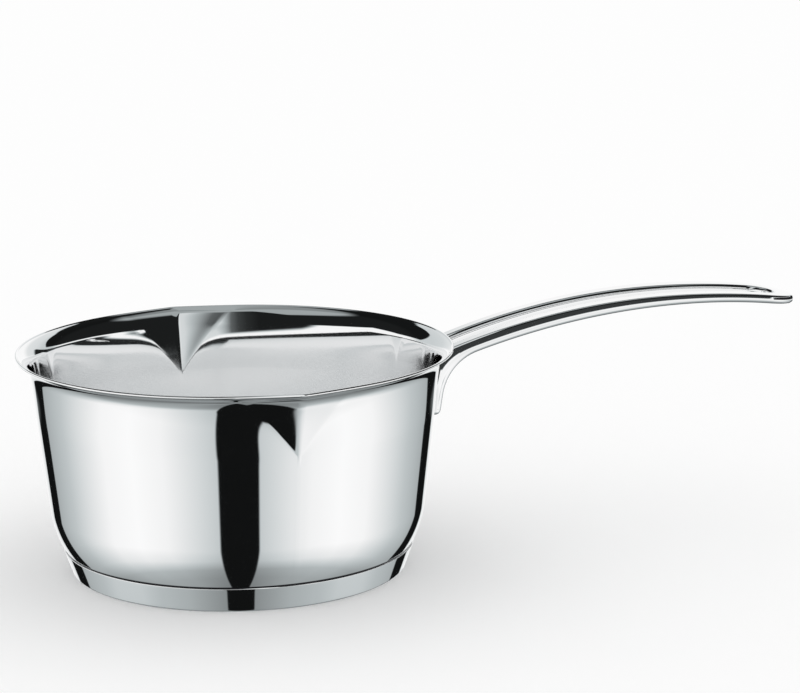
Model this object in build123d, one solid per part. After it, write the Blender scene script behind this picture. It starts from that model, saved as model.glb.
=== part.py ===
from build123d import *
from math import acos, asin, atan2, cos, degrees, hypot, radians, sin, sqrt, tan
import os

# A milk pan of polished stainless steel, 16 cm across: a thin drawn bowl with a flared pouring
# rim and two opposite pouring lips, a heat-spreading base under it, and one cast loop handle that
# is spot-welded to the wall.  Millimetres and degrees, +Z up.  The origin is the middle of the
# base's underside, +X runs along the handle and the lips point along +Y and -Y.

# Driving dimensions of the bowl
pan_height = 86.9            # stove to the top of the rim
rim_radius = 85.0            # outer edge of the rim, away from the lips
flare_reach = 5.5            # how far the rim stands out from the wall at the flare's foot
wall_taper = 6.5             # lean of the straight wall from the vertical
bowl_sheet = 0.8             # thickness of the drawn sheet
flare_angle = 75.0           # lean of the flare from the vertical at the rim's edge
belly_height = 25.7          # where the straight wall starts, above the stove
belly_radius = 42.0          # the generous curve under the straight wall
corner_radius = 9.5          # the tighter curve into the flat bottom

# Driving dimensions of the two pouring lips
lip_depth = 25.5             # from the rim down to the tip of the groove
lip_flank_angle = 14.5       # lean of a flank from the chord across the groove
lip_reach_angle = 11.6       # half the groove's angle about the pan's axis, at the flare's foot
lip_nose_radius = 9.0        # rounding along the fold of the groove

# Driving dimensions of the base
cap_sheet = 0.5              # steel capsule that closes the base
core_thickness = 4.1         # aluminium disc that spreads the heat
cap_height = 10.1            # top edge of the capsule, above the stove
cap_draft = 3.6              # how far the capsule's side draws in from its top edge to its foot
cap_foot_radius = 1.2        # rounding round the underside
braze_gap = 0.05             # film of braze between the curved faces of the base

# Driving dimensions of the handle
handle_length = 161.5        # from the wall to the tip
crest_reach = 98.5           # from the wall to the top of the arch
crest_rise = 9.2             # top of the arch above the rim
top_root_radius = 300.0      # long curve of the upper side, from the pan to the crest
top_tip_radius = 350.0       # and from the crest to the tip
crest_thickness = 4.4        # height of a rail at the crest
under_crest_shift = 9.0      # crest of the lower side, further out than that of the upper side
under_root_radius = 325.0    # long curve of the lower side, towards the pan
under_tip_radius = 290.0     # and towards the tip
throat_radius = 20.0         # curve from the rails down into the foot
foot_drop = 32.2             # lower end of the foot, below the rim
foot_thickness = 4.8         # foot at its lower end
foot_taper = 9.7             # lean of the foot's front from the vertical
foot_end_radius = 2.6        # rounding of the foot's lower front corner
root_width = 21.6            # both rails together, at the wall
nose_width = 31.5            # round end of the handle
slot_root_width = 11.4       # slot between the rails, near the wall
slot_nose_width = 15.7       # and at its round end
slot_start = 7.5             # from the wall to the start of the slot
slot_corner_radius = 3.0     # corners of the slot near the wall
top_edge_radius = 0.8        # outer upper edges
slot_edge_radius = 1.2       # edges of the slot
under_edge_radius = 1.9      # outer lower edges

# Driving dimensions of the spot welds
weld_gap = 0.3               # between the wall and the back of the foot
weld_diameter = 5.0
weld_spacing = 11.0          # between the two columns of welds
weld_pitch = 12.0            # between the two rows
weld_edge = 6.5              # lower row above the foot's lower end

# Overruns, margins and counts
cut_overrun = 5.0            # how far a cutting body runs past what it cuts
trim_overrun = 0.3           # how far the rim's end face runs past its top corner
touch_margin = 0.02          # how near to an outline the edges over it lie
flare_steps = 6              # sections along the flare

# Shares
tip_reach_share = 0.05       # the groove's tip, as a share of its reach at the flare's foot
tip_nose_share = 0.4         # the fold's share of that tip
upright_share = 0.9          # an edge that rises by more than this share of its length is upright


def lean(angle):
    """Upward direction (r, z) of a line that leans outwards by an angle from the vertical."""
    return sin(radians(angle)), cos(radians(angle))


def outward(angle):
    """Direction (r, z) square to such a line, away from the pan's axis."""
    return cos(radians(angle)), -sin(radians(angle))


# The bowl's outside, as a profile of radius against height
wall_radius = rim_radius - flare_reach
flare_radius = flare_reach / (outward(wall_taper)[0] - outward(flare_angle)[0])
flare_rise = flare_radius * (outward(wall_taper)[1] - outward(flare_angle)[1])
flare_foot = pan_height - flare_rise + bowl_sheet * outward(flare_angle)[1]
flare_centre_r = wall_radius + flare_radius * outward(wall_taper)[0]
flare_centre_z = flare_foot + flare_radius * outward(wall_taper)[1]
bowl_bottom = cap_sheet + core_thickness
belly_top_r = wall_radius - (flare_foot - belly_height) * tan(radians(wall_taper))
belly_centre_r = belly_top_r - belly_radius * outward(wall_taper)[0]
belly_centre_z = belly_height - belly_radius * outward(wall_taper)[1]
corner_centre_z = bowl_bottom + corner_radius
corner_centre_r = belly_centre_r + sqrt(
    (belly_radius - corner_radius) ** 2 - (belly_centre_z - corner_centre_z) ** 2
)
belly_end_angle = degrees(
    atan2(corner_centre_z - belly_centre_z, corner_centre_r - belly_centre_r)
)
groove_tip = pan_height - lip_depth

# The handle's places along X, from the pan's axis
handle_tip = wall_radius + handle_length
crest_x = wall_radius + crest_reach
crest_z = pan_height + crest_rise
under_crest_x = crest_x + under_crest_shift
under_crest_z = crest_z - crest_thickness
nose_x = handle_tip - nose_width / 2
slot_x = wall_radius + slot_start
foot_bottom = pan_height - foot_drop


def wall_r(z):
    """Outer radius of the straight wall at a height."""
    return wall_radius - (flare_foot - z) * tan(radians(wall_taper))


def cap_side_r(z):
    """Outer radius of the capsule's sloping side at a height."""
    top = belly_r(cap_height) + braze_gap + cap_sheet
    return top - cap_draft * (cap_height - z) / cap_height


def belly_r(z):
    """Outer radius of the bowl within its belly curve or its corner curve."""
    end_z = belly_centre_z + belly_radius * sin(radians(belly_end_angle))
    if z >= end_z:
        return belly_centre_r + sqrt(belly_radius**2 - (z - belly_centre_z) ** 2)
    return corner_centre_r + sqrt(corner_radius**2 - (corner_centre_z - z) ** 2)


def turned(outline):
    """A closed outline of radius (X) against height (Z), turned about the pan's axis."""
    return revolve(Plane.XZ * make_face(outline), Axis.Z)


def bowl_profile(inset, top):
    """Edges of the bowl's lower outline, set in from its outside, from the axis up to a height."""
    floor = bowl_bottom + inset
    corner = corner_radius - inset
    belly = belly_radius - inset
    belly_start = (
        belly_centre_r + belly * outward(wall_taper)[0],
        belly_centre_z + belly * outward(wall_taper)[1],
    )
    top_point = (belly_start[0] + (top - belly_start[1]) * tan(radians(wall_taper)), top)
    return [
        Line((0, top), (0, floor)),
        Line((0, floor), (corner_centre_r, floor)),
        CenterArc((corner_centre_r, corner_centre_z), corner, -90, 90 + belly_end_angle),
        CenterArc(
            (belly_centre_r, belly_centre_z), belly, belly_end_angle, -wall_taper - belly_end_angle
        ),
        Line(belly_start, top_point),
        Line(top_point, (0, top)),
    ]


def lip_section(radius, height, reach, flank, nose):
    """Closed outline of the bowl at one height, with the two lips.

    The circle runs up to an angle reach on each side of a lip.  From there a straight flank,
    which leans by the angle flank, runs to the lip's rounded fold.
    """
    line_distance = radius * cos(radians(reach - flank))
    fold_centre = (line_distance - nose) / cos(radians(flank))
    corner = Vector(radius * sin(radians(reach)), radius * cos(radians(reach)))
    fold_start = Vector(
        nose * sin(radians(flank)), fold_centre + nose * cos(radians(flank))
    )
    fold_top = Vector(0, fold_centre + nose)
    return section_face(radius, height, corner, fold_start, fold_top, straight=True)


def plain_section(radius, height, reach, nose_share):
    """The same outline where the groove has run out: a circle, cut at matching places."""
    corner = Vector(radius * sin(radians(reach)), radius * cos(radians(reach)))
    fold_start = Vector(
        radius * sin(radians(reach * nose_share)), radius * cos(radians(reach * nose_share))
    )
    return section_face(radius, height, corner, fold_start, Vector(0, radius), straight=False)


def section_face(radius, height, corner, fold_start, fold_top, straight):
    """Face through the outline's points, mirrored into four quarters."""

    def flip(point, sx, sy):
        return (point.X * sx, point.Y * sy)

    def flank(a, b):
        return Line(a, b) if straight else RadiusArc(a, b, radius)

    edges = []
    for sy in (1, -1):
        left, right = (-sy, sy)
        edges += [
            flank(flip(corner, left, sy), flip(fold_start, left, sy)),
            ThreePointArc(
                flip(fold_start, left, sy), flip(fold_top, 1, sy), flip(fold_start, right, sy)
            ),
            flank(flip(fold_start, right, sy), flip(corner, right, sy)),
            ThreePointArc(flip(corner, right, sy), (right * radius, 0), flip(corner, right, -sy)),
        ]
    return Plane.XY.offset(height) * make_face(edges)


def flare_section(angle, inset):
    """Outline of the flare's outside where it leans by an angle, or of a face set in from it."""
    turned_share = (angle - wall_taper) / (flare_angle - wall_taper)
    reach = lip_reach_angle + (lip_flank_angle - lip_reach_angle) * turned_share
    radius = flare_centre_r - flare_radius * outward(angle)[0]
    height = flare_centre_z - flare_radius * outward(angle)[1]
    return set_in(radius, height, reach, inset * outward(angle)[0], -inset * outward(angle)[1])


def set_in(radius, height, reach, inset, rise):
    """A lip outline moved in by an inset and up by a rise, its flanks parallel to the first."""
    line_distance = radius * cos(radians(reach - lip_flank_angle)) - inset
    inner_reach = lip_flank_angle - degrees(acos(min(1, line_distance / (radius - inset))))
    return lip_section(
        radius - inset, height + rise, inner_reach, lip_flank_angle, lip_nose_radius - inset
    )


def lipped_body(inset):
    """Solid inside the bowl's outside, or inside a face set in from it, up past the rim."""
    wall_inset = inset * outward(wall_taper)[0]
    wall_rise = -inset * outward(wall_taper)[1]
    tip_reach = lip_reach_angle * tip_reach_share
    tip_height = groove_tip + wall_rise
    tip = plain_section(
        wall_r(groove_tip) - wall_inset, tip_height, tip_reach, tip_nose_share
    )
    angles = [
        wall_taper + (flare_angle - wall_taper) * step / flare_steps
        for step in range(flare_steps + 1)
    ]
    flare = [flare_section(angle, inset) for angle in angles]
    if inset:
        rim_run = flare_section_on(flare_angle, inset, cut_overrun)
    else:
        rim_run = flare_section(flare_angle, bowl_sheet + trim_overrun)
    return (
        turned(bowl_profile(inset, tip_height))
        + loft([tip, flare[0]], ruled=True)
        + loft(flare)
        + loft([flare[-1], rim_run], ruled=True)
    )


def flare_section_on(angle, inset, run):
    """Outline a little further along the flare's direction than where it leans by an angle."""
    radius = flare_centre_r - (flare_radius + inset) * outward(angle)[0] + run * lean(angle)[0]
    height = flare_centre_z - (flare_radius + inset) * outward(angle)[1] + run * lean(angle)[1]
    nose = lip_nose_radius - inset * outward(angle)[0] + run * lean(angle)[0]
    return lip_section(radius, height, lip_flank_angle, lip_flank_angle, nose)


def pan_body():
    """The drawn bowl: one sheet of even thickness, with its flare and its two pouring lips."""
    return lipped_body(0) - lipped_body(bowl_sheet)


def base_cap():
    """The steel capsule: a shallow dish with a sloping side that hugs the bowl's belly."""
    outside = [
        Line((0, 0), (cap_side_r(0), 0)),
        Line((cap_side_r(0), 0), (cap_side_r(cap_height), cap_height)),
        Line((cap_side_r(cap_height), cap_height), (0, cap_height)),
        Line((0, cap_height), (0, 0)),
    ]
    dish = turned(outside)
    dish = fillet(dish.edges().filter_by(GeomType.CIRCLE).sort_by(Axis.Z)[0], cap_foot_radius)
    return dish - core_space(0) - belly_space()


def core_space(gap):
    """Space inside the capsule's floor and side, set in by a gap at the side."""
    low_r = cap_side_r(cap_sheet) - cap_sheet - gap
    high_r = cap_side_r(cap_height) - cap_sheet - gap
    outline = [
        Line((0, cap_sheet), (low_r, cap_sheet)),
        Line((low_r, cap_sheet), (high_r, cap_height)),
        Line((high_r, cap_height), (0, cap_height)),
        Line((0, cap_height), (0, cap_sheet)),
    ]
    return turned(outline)


def belly_space():
    """The bowl's outside, swelled by the braze, up to above the capsule."""
    return turned(bowl_profile(-braze_gap, belly_height))


def core_disc():
    """The aluminium disc, pressed to fill the capsule up to the bowl."""
    disc = core_space(braze_gap) - belly_space()
    flat = Cylinder(corner_centre_r, core_thickness, align=(Align.CENTER, Align.CENTER, Align.MIN))
    return disc + Pos(0, 0, cap_sheet) * flat


def arch_line(crest, radius, x):
    """Height of an arc that has its top at a crest."""
    return crest[1] - radius + sqrt(radius**2 - (x - crest[0]) ** 2)


def arch_edge(crest, radius, x_start, x_end):
    """That arc as an edge between two places along X."""
    middle = (x_start + x_end) / 2
    points = [(x, arch_line(crest, radius, x)) for x in (x_start, middle, x_end)]
    return ThreePointArc(*points)


def handle_side():
    """Side view of the handle: two long arched curves, the throat and the foot."""
    crest = (crest_x, crest_z)
    under_crest = (under_crest_x, under_crest_z)
    back = wall_r(foot_bottom) - cut_overrun
    end = handle_tip + cut_overrun
    front_foot = wall_r(foot_bottom) + foot_thickness
    throat = throat_corner(under_crest, front_foot)
    outline = make_face(
        [
            arch_edge(crest, top_root_radius, back, crest_x),
            arch_edge(crest, top_tip_radius, crest_x, end),
            Line((end, arch_line(crest, top_tip_radius, end)),
                 (end, arch_line(under_crest, under_tip_radius, end))),
            arch_edge(under_crest, under_tip_radius, end, under_crest_x),
            arch_edge(under_crest, under_root_radius, under_crest_x, throat[0]),
            Line(throat, (front_foot, foot_bottom)),
            Line((front_foot, foot_bottom), (back, foot_bottom)),
            Line((back, foot_bottom), (back, arch_line(crest, top_root_radius, back))),
        ]
    )
    corners = outline.vertices()
    outline = fillet(corners.sort_by_distance((*throat, 0))[0], throat_radius)
    corners = outline.vertices()
    return fillet(corners.sort_by_distance((front_foot, foot_bottom, 0))[0], foot_end_radius)


def throat_corner(under_crest, front_foot):
    """Where the front of the foot, carried on, would meet the long lower curve.

    The foot's lower corner lies inside the curve's circle, so the run along the front is the
    larger root of the circle's quadratic.
    """
    across_r, up = lean(foot_taper)
    from_centre = (front_foot - under_crest[0], foot_bottom - under_crest[1] + under_root_radius)
    along = from_centre[0] * across_r + from_centre[1] * up
    run = sqrt(along**2 - hypot(*from_centre) ** 2 + under_root_radius**2) - along
    x = front_foot + run * across_r
    return (x, arch_line(under_crest, under_root_radius, x))


def tapered_round(root_x, root_half, round_x, round_radius, corner=0):
    """Plan outline that runs in straight lines from a root to a round end that they touch."""
    length = round_x - root_x
    slope = asin(round_radius / hypot(length, root_half)) - atan2(root_half, length)
    touch_x = round_x - round_radius * sin(slope)
    touch_y = round_radius * cos(slope)
    outline = make_face(
        [
            Line((root_x, root_half), (touch_x, touch_y)),
            ThreePointArc((touch_x, touch_y), (round_x + round_radius, 0), (touch_x, -touch_y)),
            Line((touch_x, -touch_y), (root_x, -root_half)),
            Line((root_x, -root_half), (root_x, root_half)),
        ]
    )
    if corner:
        outline = fillet(outline.vertices().sort_by(Axis.X)[:2], corner)
    return outline


def upright(outline):
    """A plan outline pulled up through the whole height of the pan and handle."""
    return extrude(outline, crest_z + cut_overrun)


def across(outline):
    """A side outline pulled to both sides, past the handle's width."""
    return extrude(Plane.XZ * outline, nose_width, both=True)


def edges_over(solid, outline, upper):
    """Edges of the handle's upper or lower side that stand over a plan outline."""
    ring = outline.wires()[0]
    found = []
    for edge in solid.edges():
        middle = edge.position_at(0.5)
        upright_edge = abs(edge.tangent_at(0.5).Z) > upright_share
        over_ring = ring.distance_to(Vector(middle.X, middle.Y, 0)) < touch_margin
        at_back = middle.X < wall_radius - cut_overrun + touch_margin
        if over_ring and not upright_edge and not at_back and on_upper_side(middle) == upper:
            found.append(edge)
    return found


def on_upper_side(point):
    """Whether a point of the handle is nearer to its arched top than to its underside."""
    radius = top_root_radius if point.X < crest_x else top_tip_radius
    return point.Z > arch_line((crest_x, crest_z), radius, point.X) - crest_thickness / 2


def handle():
    """The cast loop: two rails that rise from one foot and join in a round nose."""
    plan = tapered_round(wall_radius - cut_overrun, root_width / 2, nose_x, nose_width / 2)
    slot = tapered_round(
        slot_x, slot_root_width / 2, nose_x, slot_nose_width / 2, slot_corner_radius
    )
    loop = across(handle_side()) & upright(plan)
    loop = loop - upright(slot)
    rounds = [
        (slot, True, slot_edge_radius),
        (slot, False, slot_edge_radius),
        (plan, True, top_edge_radius),
        (plan, False, under_edge_radius),
    ]
    for outline, upper, radius in rounds:
        loop = fillet(edges_over(loop, outline, upper), radius)
    return loop - turned(swelled_wall(weld_gap))


def swelled_wall(gap):
    """Outline of the straight wall and the flare, swelled by a gap, from below the foot up."""
    low = foot_bottom - cut_overrun
    high = pan_height + cut_overrun
    flare = flare_radius - gap
    flare_start = (
        flare_centre_r - flare * outward(wall_taper)[0],
        flare_centre_z - flare * outward(wall_taper)[1],
    )
    flare_end = (
        flare_centre_r - flare * outward(flare_angle)[0],
        flare_centre_z - flare * outward(flare_angle)[1],
    )
    low_r = flare_start[0] - (flare_start[1] - low) * tan(radians(wall_taper))
    return [
        Line((0, low), (low_r, low)),
        Line((low_r, low), flare_start),
        CenterArc(
            (flare_centre_r, flare_centre_z), flare, 180 - wall_taper, wall_taper - flare_angle
        ),
        Line(flare_end, (flare_end[0], high)),
        Line((flare_end[0], high), (0, high)),
        Line((0, high), (0, low)),
    ]


def spot_welds():
    """Four weld nuggets that bridge the gap between the wall and the back of the foot."""
    bridge = turned(swelled_wall(weld_gap)) - turned(swelled_wall(0))
    nuggets = []
    for row in (0, 1):
        for side in (-1, 1):
            height = foot_bottom + weld_edge + row * weld_pitch
            place = Pos(wall_r(height), side * weld_spacing / 2, height) * Rot(Y=90)
            nuggets += (place * Cylinder(weld_diameter / 2, cut_overrun) & bridge).solids()
    return Compound(children=nuggets)


NODES = {
    "pan_body": pan_body,
    "core_disc": core_disc,
    "base_cap": base_cap,
    "handle": handle,
    "spot_welds": spot_welds,
}


def main():
    os.makedirs("parts", exist_ok=True)
    for name, build in NODES.items():
        export_step(build(), f"parts/{name}.step")


if __name__ == "__main__":
    main()
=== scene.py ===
from math import acos, asin, atan2, cos, hypot, pi, radians, sin, sqrt, tan

import bpy
import numpy as np
from bpy.props import FloatProperty, FloatVectorProperty, PointerProperty
from mathutils import Matrix, Vector


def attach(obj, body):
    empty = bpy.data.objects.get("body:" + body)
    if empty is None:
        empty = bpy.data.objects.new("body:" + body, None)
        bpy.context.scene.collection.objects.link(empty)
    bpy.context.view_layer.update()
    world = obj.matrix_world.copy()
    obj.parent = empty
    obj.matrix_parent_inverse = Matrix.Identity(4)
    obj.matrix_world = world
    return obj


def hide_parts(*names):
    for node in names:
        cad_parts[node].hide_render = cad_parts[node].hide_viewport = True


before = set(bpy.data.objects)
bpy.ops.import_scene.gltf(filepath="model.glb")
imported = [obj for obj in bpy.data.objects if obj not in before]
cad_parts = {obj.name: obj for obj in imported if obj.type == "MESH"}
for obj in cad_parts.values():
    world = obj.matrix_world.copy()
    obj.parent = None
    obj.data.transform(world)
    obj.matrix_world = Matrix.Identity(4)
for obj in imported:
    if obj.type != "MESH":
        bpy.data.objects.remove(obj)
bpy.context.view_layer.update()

bl_info = {
    "name": "Milk pan",
    "version": (1, 0, 0),
    "blender": (4, 5, 0),
    "location": "View3D > Sidebar > Milk pan",
    "description": "Dresses a polished steel milk pan with its surfaces, finishes and studio",
    "category": "Add Mesh",
}

# A milk pan of mirror-polished stainless steel: a drawn bowl with a flared rim and two pouring
# lips, a capsule base, and a cast loop handle.  Metres, +Z up.  The origin is the middle of the
# base's underside, +X runs along the handle and the lips point along +Y and -Y.

mm = 0.001


def length(name, description, default):
    """A length in metres, given here in millimetres."""
    return FloatProperty(
        name=name, description=description, default=default * mm, min=0, unit="LENGTH", precision=5
    )


def angle(name, description, default):
    """An angle, given here in degrees."""
    return FloatProperty(
        name=name, description=description, default=radians(default), unit="ROTATION"
    )


def share(name, description, default, top=1.0):
    """A plain number from 0 to a top value."""
    return FloatProperty(name=name, description=description, default=default, min=0, max=top)


def colour(name, description, default):
    """A linear colour."""
    return FloatVectorProperty(
        name=name, description=description, default=default, subtype="COLOR", min=0, max=1
    )


class BowlShape(bpy.types.PropertyGroup):
    """Sizes of the drawn bowl."""

    height: length("Height", "Stove to the top of the rim", 86.9)
    rim_radius: length("Rim radius", "Outer edge of the rim, away from the lips", 85.0)
    flare_reach: length("Flare reach", "How far the rim stands out from the wall", 5.5)
    flare_angle: angle("Flare angle", "Lean of the flare from the vertical at the rim", 75.0)
    wall_taper: angle("Wall taper", "Lean of the straight wall from the vertical", 6.5)
    wall_ease: angle("Wall ease", "Lean that the wall has gained at the flare's foot", 9.2)
    sheet: length("Sheet", "Thickness of the drawn steel", 0.8)
    bottom: length("Bottom", "Underside of the bowl above the stove", 4.6)
    belly_height: length("Belly height", "Where the straight wall starts", 25.7)
    belly_radius: length("Belly radius", "Curve under the straight wall", 42.0)
    corner_radius: length("Corner radius", "Tighter curve into the flat bottom", 9.5)
    rim_low_rounding: length("Rim low rounding", "Lower edge of the rim", 0.1)
    rim_rounding: length("Rim rounding", "Upper edge of the rim, ground smooth", 0.65)
    rim_bead: length("Rim bead", "How far the rim's edge swells over the flare", 0.2)
    bead_run: length("Bead run", "Stretch of the flare over which the bead rises", 0.6)
    rim_cut: angle("Rim cut", "Lean of the rim's cut from square to the sheet", 15.5)
    lip_depth: length("Lip depth", "From the rim down to the tip of the groove", 25.5)
    lip_flank: angle("Lip flank", "Lean of a flank from the chord across the groove", 14.5)
    lip_bow: angle("Lip bow", "How far each flank turns from the plain wall to the fold", 5.0)
    lip_reach: angle("Lip reach", "Half the groove's angle at the flare's foot", 11.4)
    lip_nose: length("Lip nose", "Rounding along the fold of the groove", 9.0)
    satin_start: length("Satin start", "Mirror finish down the inside from the flare", 2.5)
    satin_fade: length("Satin fade", "Depth over which the inside turns satin", 15.0)


class BaseShape(bpy.types.PropertyGroup):
    """Sizes of the steel capsule under the bowl."""

    height: length("Height", "Top edge of the capsule above the stove", 10.1)
    draft: length("Draft", "How far the side draws in from its top edge to its foot", 3.6)
    sheet: length("Sheet", "Thickness of the capsule's steel", 0.5)
    braze: length("Braze", "Film of braze between bowl and capsule", 0.05)
    foot_rounding: length("Foot rounding", "Rounding round the underside", 1.2)
    edge_rounding: length("Edge rounding", "Rounding of the top edge", 0.34)


class HandleShape(bpy.types.PropertyGroup):
    """Sizes of the cast loop handle."""

    reach: length("Reach", "From the wall to the tip", 161.5)
    crest_reach: length("Crest reach", "From the wall to the top of the arch", 98.5)
    crest_rise: length("Crest rise", "Top of the arch above the rim", 9.2)
    top_root_radius: length("Top root radius", "Upper curve, pan to crest", 300.0)
    top_tip_radius: length("Top tip radius", "Upper curve, crest to tip", 350.0)
    crest_thickness: length("Crest thickness", "Height of a rail at the crest", 4.4)
    under_shift: length("Under shift", "Lower crest, further out than the upper one", 9.0)
    under_root_radius: length("Under root radius", "Lower curve, towards the pan", 325.0)
    under_tip_radius: length("Under tip radius", "Lower curve, towards the tip", 290.0)
    throat_radius: length("Throat radius", "Curve from the rails into the foot", 20.0)
    foot_drop: length("Foot drop", "Lower end of the foot below the rim", 32.2)
    foot_thickness: length("Foot thickness", "Foot at its lower end", 4.8)
    foot_taper: angle("Foot taper", "Lean of the foot's front from the vertical", 9.7)
    foot_end_radius: length("Foot end radius", "Lower front corner of the foot", 2.6)
    root_width: length("Root width", "Both rails together, near the wall", 21.6)
    root_setback: length("Root setback", "Where that width is taken, inside the wall", 5.0)
    nose_width: length("Nose width", "Round end of the handle", 31.5)
    slot_root_width: length("Slot root width", "Slot near the wall", 11.4)
    slot_nose_width: length("Slot nose width", "Slot at its round end", 15.7)
    slot_start: length("Slot start", "From the wall to the start of the slot", 7.5)
    slot_corner: length("Slot corner", "Corners of the slot near the wall", 3.0)
    top_rounding: length("Top rounding", "Outer upper edges", 0.8)
    slot_rounding: length("Slot rounding", "Edges of the slot", 1.2)
    under_rounding: length("Under rounding", "Outer lower edges", 1.9)
    crown: angle("Crown", "Lean of the crowned sides where they meet the roundings", 8.0)
    weld_gap: length("Weld gap", "Between the wall and the back of the foot", 0.3)


class SteelFinish(bpy.types.PropertyGroup):
    """Colours and polish of the steel and the hidden metal."""

    steel: colour("Polished steel", "Mirror-polished stainless steel", (0.92, 0.922, 0.925))
    handle_steel: colour("Cast steel", "Polished casting of the handle", (0.91, 0.912, 0.915))
    # The braze colour is painted shade: it darkens a thin line along the seam over the capsule's
    # edge, where the crevice lies in shadow.
    braze: colour("Braze", "Dark braze in the seam over the capsule", (0.05, 0.05, 0.055))
    core: colour("Aluminium", "Rolled aluminium of the heat core", (0.82, 0.83, 0.84))
    weld: colour("Weld steel", "Heat-tinted weld nuggets", (0.42, 0.40, 0.38))
    polish: share("Polish", "Roughness of the mirror finish", 0.035)
    satin: share("Satin", "Roughness of the satin finish inside the bowl", 0.15)
    bottom: share("Bottom", "Roughness of the brushed bottom inside the bowl", 0.34)
    scatter: share("Scatter", "How much the brushed bottom scatters light widely", 0.4)
    turned: share("Turned", "Roughness of the turned underside", 0.28)
    core_roughness: share("Core roughness", "Roughness of the rolled aluminium", 0.4)
    weld_roughness: share("Weld roughness", "Roughness of the weld nuggets", 0.5)
    brushed_radius: length("Brushed radius", "Where the brushed bottom starts to fade", 50.0)
    brushed_end: length("Brushed end", "Where the brushed bottom has faded", 56.0)
    seam_shade_half: length("Seam half", "Half the height of the dark seam line", 0.6)
    seam_shade_edge: length("Seam edge", "Soft edge of the dark seam line", 0.15)


class StudioSettings(bpy.types.PropertyGroup):
    """Floor, light and camera."""

    floor_tone: share("Floor tone", "Brightness of the floor's own colour", 0.985)
    room_light: share("Room light", "Even light from all sides", 1.0, top=5)
    panel_light: share("Panel light", "What polished steel sees of the panels", 1.08, top=5)
    grey_tint: colour("Grey tint", "Cast of the darker panels", (0.91, 0.985, 1.0))
    lens: FloatProperty(
        name="Lens", description="Focal length in millimetres", default=130.11, unit="CAMERA"
    )
    distance: length("Distance", "Camera to the pan's axis at its aim height", 1134.7)
    aim_height: length("Aim height", "Point on the axis that the elevation is taken from", 43.51)
    elevation: angle("Elevation", "Camera above the horizon", 14.226)
    azimuth: angle("Azimuth", "Camera round the pan", -17.0)
    yaw: angle("Yaw", "Camera turned towards the handle", 3.340)
    pitch: angle("Pitch", "Camera tilted up, below zero is down", -12.116)
    roll: angle("Roll", "Camera turned about its own line of sight", -0.562)


class MilkPan(bpy.types.PropertyGroup):
    """Everything that a user would change."""

    bowl: PointerProperty(type=BowlShape)
    base: PointerProperty(type=BaseShape)
    handle: PointerProperty(type=HandleShape)
    finish: PointerProperty(type=SteelFinish)
    studio: PointerProperty(type=StudioSettings)


# Mesh making

# Edges that turn by more than this stay sharp
VESSEL_SHARP = radians(50)
HANDLE_SHARP = radians(40)


def add_piece(name, points, faces, sharp):
    """Adds a mesh object at the origin from points (n, 3) and quads or triangles by index."""
    mesh = bpy.data.meshes.new(name)
    mesh.from_pydata(points, [], faces)
    mesh.validate()
    mesh.polygons.foreach_set("use_smooth", np.ones(len(mesh.polygons), bool))
    mesh.set_sharp_from_angle(angle=sharp)
    mesh.update()
    piece = bpy.data.objects.new(name, mesh)
    bpy.context.scene.collection.objects.link(piece)
    even = piece.modifiers.new("even normals", "WEIGHTED_NORMAL")
    even.keep_sharp = True
    return piece


def ring_faces(rows, columns, closed_rows):
    """Quads of a grid whose columns close on themselves, and its rows too where asked."""
    row = np.arange(rows if closed_rows else rows - 1)[:, None]
    column = np.arange(columns)[None, :]
    here = row * columns + column
    beside = row * columns + (column + 1) % columns
    above = (row + 1) % rows * columns + column
    corner = (row + 1) % rows * columns + (column + 1) % columns
    return np.stack([here, beside, corner, above], axis=-1).reshape(-1, 4).tolist()


def pole_faces(pole, first, columns, upwards):
    """Triangles from a pole to the row of points that starts at index first."""
    column = np.arange(columns)
    ring = first + column
    following = first + (column + 1) % columns
    pair = (ring, following) if upwards else (following, ring)
    return np.stack([np.full(columns, pole), *pair], axis=-1).tolist()


def add_vessel(name, grid, start_pole, end_pole, sharp):
    """Closed surface from a grid of rings that runs from one pole on the axis to another."""
    rows, columns = grid.shape[:2]
    points = np.concatenate([grid.reshape(-1, 3), [start_pole, end_pole]])
    faces = ring_faces(rows, columns, closed_rows=False)
    faces += pole_faces(rows * columns, 0, columns, upwards=False)
    faces += pole_faces(rows * columns + 1, (rows - 1) * columns, columns, upwards=True)
    return add_piece(name, points, faces, sharp)


def evenly(start, end, steps, last=True):
    """Steps + 1 even values from start to end, or without the last one."""
    return np.linspace(start, end, steps + 1)[: None if last else -1]


def unit(turn):
    """Unit vectors (cos, sin) of angles."""
    return np.stack([np.cos(turn), np.sin(turn)], -1)


def arc(centre, radius, start, end, steps, last=True):
    """Points of an arc in a plane: centre + radius (cos, sin) of even angles."""
    return np.asarray(centre) + radius * unit(evenly(start, end, steps, last))


def straight(start, end, steps, last=True):
    """Points of a straight line: start + share (end - start)."""
    along = evenly(0, 1, steps, last)[:, None]
    return np.asarray(start) + along * (np.asarray(end) - np.asarray(start))


def from_axis(r, z, steps):
    """(r, z) of a flat disc, one step from the axis and on out to its edge."""
    return straight((r / (steps + 1), z), (r, z), steps)


# The bowl

# Steps along its profile, from the axis up to the rim and over the rim's two edges
FLOOR_STEPS = 11
CORNER_STEPS = 14
BELLY_STEPS = 20
WALL_STEPS = 16
GROOVE_STEPS = 24
FLARE_STEPS = 22
RIM_LOW_STEPS = 6
RIM_STEPS = 12
BEAD_STEPS = 8

# Steps round a quarter of it: along the plain circle, a flank and half the fold
CIRCLE_STEPS = 68
FLANK_STEPS = 12
FOLD_STEPS = 9
QUARTER_STEPS = CIRCLE_STEPS + FLANK_STEPS + FOLD_STEPS

# The groove's tip, as a share of its reach at the flare's foot, and the fold's share of that
TIP_REACH_SHARE = 0.05
TIP_FOLD_SHARE = 0.4

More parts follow.
